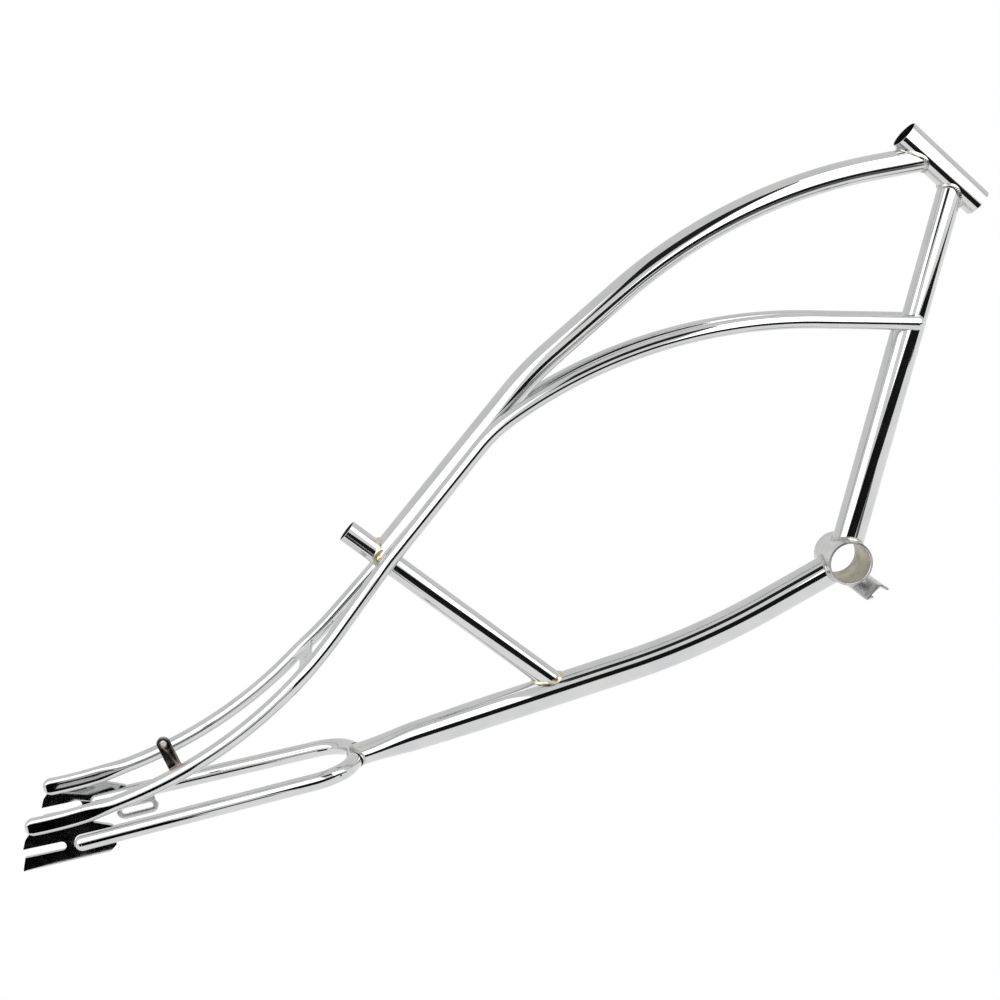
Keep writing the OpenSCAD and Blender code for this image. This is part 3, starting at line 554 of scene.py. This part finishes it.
def stayGrid(side):
    lean = math.degrees(splayLean)
    path = bentPath(startAt(stayStart + side * stayY * across, stay["rise"]), [
        (stayFront, 180, stay["crestRadius"], stay["crestBend"]),
        (0, 180, stay["shoulderRadius"], stay["shoulderBend"]),
        (stayRear, side * 90, stay["splayRadius"], stay["splay"]),
        (splayStraight, 0, stay["sweepRadius"], stay["sweepEntry"]),
        (0, side * (lean - 90), stay["splayRadius"], math.degrees(splayBack)),
        (0, side * lean, stay["sweepRadius"], stay["sweepBend"])], 4)
    tall, thick, plain = stay["flatHeight"] / 2, stay["flatThickness"] / 2, stay["od"] / 2
    a = np.linspace(0, math.pi / 2, 15)[1:, None]
    end = path[-1]
    tip = np.stack([end[0] + end[1] * tall * np.sin(a)] + [v + 0 * a for v in end[1:]], 1)
    path = np.concatenate([path, tip])
    steps = np.linalg.norm(np.diff(path[:, 0], axis=0), axis=1)
    past = np.concatenate([[0], np.cumsum(steps)])
    past = past - past[-1] + tall                       # distance past the tip's centre
    press = np.clip((past + stay["flatLength"] + stay["morph"] / 2) / stay["morph"], 0, 1)
    press = press ** 2 * (3 - 2 * press)
    rounding = np.sqrt(np.clip(1 - (np.maximum(past, 0) / tall) ** 2, 0, 1))
    edge = np.sqrt(np.clip(1 - (np.maximum(past - tall + thick, 0) / thick) ** 2, 0, 1))
    angle = (np.arange(56) + 0.5) * 2 * math.pi / 56
    flatX = (tall - thick) * np.sign(np.cos(angle)) + thick * np.cos(angle)
    flatY = thick * np.sin(angle)
    x = (plain * np.cos(angle) * (1 - press[:, None]) + flatX * press[:, None]) * rounding[:, None]
    y = (plain * np.sin(angle) * (1 - press[:, None]) + flatY * press[:, None]) * edge[:, None]
    grid = placed(path, x, y, side * splayLean)
    return np.concatenate([shrunk(grid[0], (0, 0.5)), grid])


for name, side in (("Right", right), ("Left", left)):
    tube = gridPiece("stayTube" + name, stayGrid(side), [tubeChrome])
    bind(tube, "chrome_tube", "stay_tube_" + name.lower())
    begin = startAt(stayStart + side * stayY * across, stay["rise"])
    cap = dome("stayEnd" + name, begin[0], -begin[1], begin[2], stay["od"] / 2)
    bind(cap, "chrome_tube", "front_plug_" + name.lower())
print("twin tubes made")

# Dropouts: heavy plates with an open axle slot, cut square and eased at the corners
slotDir = ahead(axleFrame["slotRise"])[::2]
slotUp = np.array([slotDir[1], -slotDir[0]])
halfSlot, slotMouth = axleFrame["slot"] / 2, axleFrame["slotDepth"] * slotDir
a = np.linspace(math.pi / 2, -math.pi / 2, 17)[:, None]
slotEndCurve = halfSlot * (np.cos(a) * -slotDir + np.sin(a) * slotUp)
# forward and up from the axle, in millimetres
corners = np.array([(-54.5, -13.9), (52, -27.5), (61.6, -22), (66.5, 2), (47, 14),
                    (40, axleFrame["tipAbove"] - 6), (-axleFrame["tipBehind"], axleFrame["tipAbove"]),
                    (-38, 22.5), slotMouth + halfSlot * slotUp])
outline = roundedOutline(corners, (1.5, 5, 3, 4, 3, 2, 1.5, 1.5, 0.8), 5)
outline = np.concatenate([outline, slotEndCurve, [slotMouth - halfSlot * slotUp]])
for name, side in (("Right", right), ("Left", left)):
    place = (axle + side * dropoutY * across, np.array([1.0, 0, 0]), np.array([0, 0, 1.0]))
    plate = platePiece("dropout" + name, outline, axleFrame["plate"], place, [plateChrome], edge=0.7)
    bind(plate, "chrome_plate", "dropout_" + name.lower())

# Kickstand plate: a sheet folded down along both long edges
stand = {"sheet": 3.5, "halfLength": 58, "width": 25, "tilt": 24.6, "depth": 36, "back": 6.3, "hole": 10.5,
         "rearLip": 9, "rearAngle": 150, "frontLip": 11, "frontAngle": 71, "fold": 3}
tilt = math.radians(stand["tilt"])
standX, standZ = np.array([math.cos(tilt), 0, math.sin(tilt)]), np.array([-math.sin(tilt), 0, math.cos(tilt)])
standSpot = -stand["back"] * standX - stand["depth"] * standZ
rearA, frontA = math.radians(stand["rearAngle"]), math.radians(stand["frontAngle"])
half = stand["width"] / 2
middle = np.array([(-half - stand["rearLip"] * math.cos(rearA), -stand["rearLip"] * math.sin(rearA)),
                   (-half, 0), (half, 0),
                   (half + stand["frontLip"] * math.cos(frontA), -stand["frontLip"] * math.sin(frontA))])
middle = middle + (0, -stand["sheet"] / 2)


def sheetSection(line, thickness, fold):
    # an open line made smooth at its corners, then offset to both sides and closed with round tips
    first, last = line[:1], line[-1:]
    before, after = unit(line[:-2] - line[1:-1]), unit(line[2:] - line[1:-1])
    u = np.linspace(0, 1, 9)[None, :, None]
    bends = line[1:-1, None] + fold * (before[:, None] * (1 - u) ** 2 + after[:, None] * u ** 2)
    path = np.concatenate([first, bends.reshape(-1, 2), last])
    run = unit(np.gradient(path, axis=0))
    normal = np.stack([-run[:, 1], run[:, 0]], 1)
    a = np.linspace(math.pi / 2, -math.pi / 2, 7)[1:-1, None]
    tipEnd = last + thickness / 2 * (np.cos(a) * run[-1] + np.sin(a) * normal[-1])
    tipStart = first - thickness / 2 * (np.cos(a) * run[0] + np.sin(a) * normal[0])
    shift = normal * thickness / 2
    return np.concatenate([path + shift, tipEnd, (path - shift)[::-1], tipStart])


section = sheetSection(middle, stand["sheet"], stand["fold"])
standPlate = platePiece("kickstandPlate", section, 2 * stand["halfLength"], (standSpot, standX, standZ),
                        [satinChrome])
a = np.linspace(0, 2 * math.pi, 41)[:-1, None]
circle = np.concatenate([np.cos(a), np.sin(a)], 1)
drill = circle * stand["hole"] / 2
hole = standSpot + drill[:, :1] * standX + drill[:, 1:] * across
cutter = prismPiece("drill", hole + standZ * 5, hole - standZ * 12)                    # through the sheet
cutAndBevel(standPlate, [cutter], 0)
bind(standPlate, "satin_chrome", "kickstand_plate")

# Its boss under the shell: the hole's thread is drawn as rings, one a pitch
boss = {"od": 22, "hole": 8.5, "pitch": 1.5, "thread": 0.35, "intoShell": 2.1}
rB, rH, tall = boss["od"] / 2, boss["hole"] / 2, stand["depth"] - shellPost[2] + boss["intoShell"]
turns = np.linspace(tall - 0.6, 0.6, round(tall / 0.25))
thread = [(rH + boss["thread"] * abs(math.sin(math.pi * z / boss["pitch"])), z) for z in turns]
profile = [(rB - 0.4, 0), (rB, 0.4), (rB, tall), (rH + 0.4, tall), *thread, (rH + 0.6, 0)]
grid = lathe(profile, standSpot, standZ, across, 56)
bossPiece = gridPiece("kickstandBoss", grid, [satinChrome], ring=True)
bind(bossPiece, "satin_chrome", "kickstand_boss")

# Fender bridge: an arched plate between the stays
bridge = {"plate": 3.2, "width": 20, "lead": 24, "hole": 6.4, "legs": 16}
span = dropoutY - stay["od"] / 2 + 1.5
arch = (span ** 2 + bridge["legs"] ** 2) / (2 * bridge["legs"])
y = np.linspace(-span, span, 41)
half = bridge["width"] / 2
archX = -half - arch + np.sqrt(arch ** 2 - y ** 2)
outline = np.concatenate([np.stack([archX, y], 1), [(half, span), (half, -span)]])
bridgeSpot = sweepStart - bridge["lead"] * ahead(sweepRise)
fenderBridge = platePiece("fenderBridge", outline, bridge["plate"],
                          (bridgeSpot, -ahead(sweepRise), across), [satinChrome],
                          holes=[circle * bridge["hole"] / 2])
bind(fenderBridge, "satin_chrome", "fender_bridge")

# Eyelet: a tab on the right stay with a hole near its round top
eyelet = {"hole": 7, "height": 42, "spot": -9.3, "lean": 4.7, "width": 17, "plate": 3}
foot = sweepStart + stay["sweepRadius"] * (above(sweepRise) - above(eyelet["spot"]))
rim = eyelet["width"] / 2
a = np.linspace(-math.pi / 2, math.pi / 2, 25)
outline = np.concatenate([np.stack([eyelet["height"] + rim * np.cos(a), rim * np.sin(a)], 1),
                          [(2, rim), (2, -rim)]])
place = (foot + right * (dropoutY - eyelet["plate"]) * across, above(-eyelet["lean"]), ahead(-eyelet["lean"]))
tab = platePiece("stayEyelet", outline, eyelet["plate"], place, [eyeletChrome],
                 holes=[circle * eyelet["hole"] / 2 + (eyelet["height"], 0)], edge=1.0)
bind(tab, "chrome_plate", "stay_eyelet")

# Brake arm bracket: a slotted plate under the left leg
bracket = {"ahead": 47, "depth": 23, "slot": 7.5, "slotLength": 41, "plate": 3, "rim": 7, "web": 50,
           "inLeg": 4, "skirt": 18}
travel = (bracket["slotLength"] - bracket["slot"]) / 2
legY = tipY - bracket["ahead"] * math.tan(s)
place = (legTip - bracket["ahead"] * ahead(loop["rise"]) + legY * across, above(loop["rise"]),
         ahead(loop["rise"]))
rim, webHalf = bracket["slot"] / 2 + bracket["rim"], bracket["web"] / 2
a = np.linspace(math.pi / 2, math.pi, 9)
low = np.stack([rim * np.cos(a) - bracket["depth"], travel + rim * np.sin(a)], 1)
outline = np.concatenate([[(-bracket["inLeg"], -webHalf), (-bracket["inLeg"], webHalf),
                           (-bracket["skirt"], webHalf)], low,
                          low[::-1] * (1, -1), [(-bracket["skirt"], -webHalf)]])
a = np.linspace(0, math.pi, 13)
slotHalf = bracket["slot"] / 2
slotOutline = np.stack([slotHalf * np.cos(a) - bracket["depth"], travel + slotHalf * np.sin(a)], 1)
slotOutline = np.concatenate([slotOutline, slotOutline[::-1] * (1, -1)])
slotted = platePiece("brakeArmBracket", outline, bracket["plate"], place, [satinChrome], holes=[slotOutline])
bind(slotted, "satin_chrome", "brake_arm_bracket")
print("plates made")

# Weld beads around the large tubes
tig = {"leg": 3.0, "pitch": 2.6, "hump": 0.5, "ripple": 0.35}
gold = {"leg": 3.6, "pitch": 9, "hump": 0.25, "ripple": 0.2}
welds = [
    ("headTopWeld", "head_top_weld", topStart, ahead(top["rise"]), top["od"], headPost, tig),
    ("headDownWeld", "head_down_weld", down["length"] * downDir + downShift * downFront, -downDir,
     down["upperOd"], headPost, tig),
    ("shellFrontWeld", "shell_front_weld", origin, downDir, down["lowerOd"], shellPost, tig),
    ("shellRearWeld", "shell_rear_weld", bottomStart, ahead(bottom["rise"]), bottom["od"], shellPost, tig),
    ("seatFootWeld", "seat_foot_weld", seatStart, seatDir, seat["od"], bottomPost, gold),
    ("seatTopWeld", "seat_top_weld", knot, -ahead(endRise), top["od"], seatPost, gold),
]
for name, node, spot, heading, od, post, look in welds:
    curve, postSide, tubeSide = jointCurve(spot, heading, od / 2, post)
    grid = beadGrid(curve, postSide, tubeSide, heading, look)
    golden = look is gold
    bead = gridPiece(name, grid, [braze if golden else weldChrome], ring=True, sharp=70)
    bind(bead, "brass_braze" if golden else "chrome_weld", node)

# Yoke weld: a soft fillet where the pressed end wraps the crosspiece
soft = {"leg": 3.2, "pitch": 6, "hump": 0.2, "ripple": 0.15}
ring = tubeGrid(startAt(yoke - 60 * ahead(tailRise), tailRise)[None], bottom["endHeight"] / 2,
                bottom["endWidth"] / 2, around=240)[0]
curve = ring + ahead(tailRise) * reachPost(ring, ahead(tailRise), yokePost)[:, None]
away = curve - yoke
postSide = unit(away - (away @ across)[:, None] * across)
tubeSide = unit(ring - ring.mean(0))
grid = beadGrid(curve, postSide, tubeSide, -ahead(tailRise), soft)
bead = gridPiece("yokeWeld", grid, [weldChrome], ring=True, sharp=70)
bind(bead, "chrome_weld", "yoke_weld")


def sideLoop(centre, heading, radius, post, side, domed, around=160):
    # The closed curve where a tube lying beside a post sinks into it. In the side plane, walk outwards at
    # each angle until the tube's inner face and the post's face are level; halving finds the distance.
    spot, axis, postRadius = post
    up = np.cross(heading, across)
    a = np.arange(around) * 2 * math.pi / around
    low, high = np.zeros(around), np.full(around, 60.0)
    for _ in range(40):
        far = (low + high) / 2
        z, h = far * np.cos(a), far * np.sin(a)
        off = np.hypot(h, np.minimum(z, 0)) if domed else np.abs(h)
        flat = centre + z[:, None] * heading + h[:, None] * up - spot
        flat = flat * (1, 0, 1)
        q = np.linalg.norm(flat - (flat @ axis)[:, None] * axis, axis=1)
        tubeFace = abs(centre[1]) - np.sqrt(np.maximum(radius ** 2 - off ** 2, 0))
        postFace = np.sqrt(np.maximum(postRadius ** 2 - q ** 2, 0))
        inside = (postFace > tubeFace) & (off < radius) & (q < postRadius)
        low, high = np.where(inside, far, low), np.where(inside, high, far)
    z, h = low * np.cos(a), low * np.sin(a)
    off = np.hypot(h, np.minimum(z, 0)) if domed else np.abs(h)
    face = abs(centre[1]) - np.sqrt(np.maximum(radius ** 2 - off ** 2, 0))
    points = (centre * (1, 0, 1)) + z[:, None] * heading + h[:, None] * up + side * face[:, None] * across
    core = centre + (np.maximum(z, 0) if domed else z)[:, None] * heading
    away = points - spot
    return points, unit(away - (away @ axis)[:, None] * axis), unit(points - core)


slender = {"leg": 2.2, "pitch": 2.6, "hump": 0.4, "ripple": 0.3, "edge": 3}
puddle = {"leg": 3.4, "pitch": 9, "hump": 0.2, "ripple": 0.2, "spread": 1.9}
for name, side in (("Right", right), ("Left", left)):
    centre = stayStart + side * stayY * across
    points, postSide, tubeSide = sideLoop(centre, ahead(stay["rise"]), stay["od"] / 2,
                                          (origin, downDir, down["lowerOd"] / 2), side, True)
    climb = (points - centre) @ downDir
    points = points - np.maximum(climb - slender["edge"], 0)[:, None] * downDir   # stays on the wide part
    grid = beadGrid(points, postSide, tubeSide, side * across, slender)
    bead = gridPiece("stayFrontWeld" + name, grid, [weldChrome], ring=True, sharp=70)
    bind(bead, "chrome_weld", "stay_front_weld_" + name.lower())
    # braze puddle between the stay and the seat tube
    seatPuddle = (seatStart, seatDir, seat["od"] / 2 + puddle["spread"])
    points, postSide, tubeSide = sideLoop(knot + side * stayY * across, ahead(endRise),
                                          stay["od"] / 2 + puddle["spread"], seatPuddle, side, False)
    grid = beadGrid(points, postSide, tubeSide, side * across, puddle)
    bead = gridPiece("stayBraze" + name, grid, [braze], ring=True, sharp=70)
    bind(bead, "brass_braze", "stay_braze_" + name.lower())
print("welds made")

# Studio: a white sweep under a pale even sky. Cards stand in front of the frame, where only the chrome
# sees them: soft boxes make the white streaks and black cards the dark ones.
world = bpy.data.worlds.new("studio")
bpy.context.scene.world = world
world.use_nodes = True
tree = world.node_tree
tree.nodes.clear()
studio = {"sky": 0.8, "paper": 1.0, "drop": 1.3, "half": 14.0, "cardsAt": -0.7, "cardGap": 0.002,
          "middle": (-0.466, 0.3)}
seen = addNode(tree, "ShaderNodeLightPath").outputs["Is Camera Ray"]
level = addNode(tree, "ShaderNodeMix", {"data_type": "FLOAT", 2: studio["sky"], 3: studio["paper"]},
                {0: seen})
sky = addNode(tree, "ShaderNodeBackground", {"Color": (1, 1, 1, 1)}, {"Strength": level.outputs[0]})
addNode(tree, "ShaderNodeOutputWorld", {}, {"Surface": sky.outputs[0]})


def glow(name, strength):
    material = bpy.data.materials.new(name)
    material.use_nodes = True
    tree = material.node_tree
    tree.nodes.clear()
    light = addNode(tree, "ShaderNodeEmission", {"Strength": strength, "Color": (1, 1, 1, 1)})
    addNode(tree, "ShaderNodeOutputMaterial", {}, {"Surface": light.outputs[0]})
    return material


def stagePlane(name, corners, strength):
    mesh = bpy.data.meshes.new(name)
    mesh.from_pydata(corners, [], [list(range(len(corners)))])
    mesh.materials.append(glow(name + "Light", strength))
    plane = bpy.data.objects.new(name, mesh)
    bpy.context.scene.collection.objects.link(plane)
    return plane


half, drop = studio["half"], -studio["drop"]
stagePlane("paperFloor", [(-half, -half, drop), (half, -half, drop), (half, half, drop), (-half, half, drop)],
           studio["paper"])
# each card: strength, and corners in millimetres across and up from the middle of the frame
cards = {
    "softBoxLeft": (2.0, [(-2200, -60), (60, -60), (60, 1000), (-2200, 1000)]),
    "softBoxRight": (2.6, [(430, -60), (2600, -60), (2600, 1500), (950, 1500), (850, 1050), (640, 600),
                           (530, 300)]),
    "fillCentre": (0.9, [(60, -60), (430, -60), (480, 330), (60, 330)]),
    "blackColumn": (0.02, [(150, 330), (490, 330), (620, 600), (840, 1050), (900, 1300), (150, 1300)]),
    "blackBand": (0.01, [(-330, -100), (210, -60), (660, -80), (1000, -200), (1500, -420), (2600, -900),
                         (2600, -1400), (1500, -700), (900, -500), (200, -460), (-300, -480)]),
    "greyBand": (0.12, [(-480, -300), (-330, -300), (-330, -480), (-480, -480)]),
    "blackStreak": (0.12, [(700, -500), (900, -500), (1050, -1200), (850, -1200)]),
    "blackLow": (0.0, [(-1200, -215), (-480, -215), (-480, -680), (-1200, -680)]),
}
x0, z0 = studio["middle"]
for number, (name, (strength, corners)) in enumerate(cards.items()):
    y = studio["cardsAt"] + number * studio["cardGap"]
    card = stagePlane(name, [(x0 + x * mm, y, z0 + z * mm) for x, z in corners], strength)
    card.visible_camera = card.visible_diffuse = card.visible_shadow = False

# Camera: panned a little off square to the side of the frame, looking down on it, and rolled
view = {"lens": 61.92, "sensor": 36, "far": 100, "spot": (-0.4664, -2.0919, 0.6667),
        "pan": -2.1073, "tilt": 78.0454, "roll": -19.4028}
lensData = bpy.data.cameras.new("camera")
lensData.lens, lensData.sensor_width, lensData.clip_end = view["lens"], view["sensor"], view["far"]
camera = bpy.data.objects.new("camera", lensData)
bpy.context.scene.collection.objects.link(camera)
panned, tilted, rolled = (Matrix.Rotation(math.radians(view[turned]), 4, axis)
                          for turned, axis in (("pan", "Z"), ("tilt", "X"), ("roll", "Z")))
camera.matrix_world = Matrix.Translation(view["spot"]) @ panned @ tilted @ rolled
bpy.context.scene.camera = camera
bpy.context.scene.view_settings.view_transform = "Standard"

print("studio made")
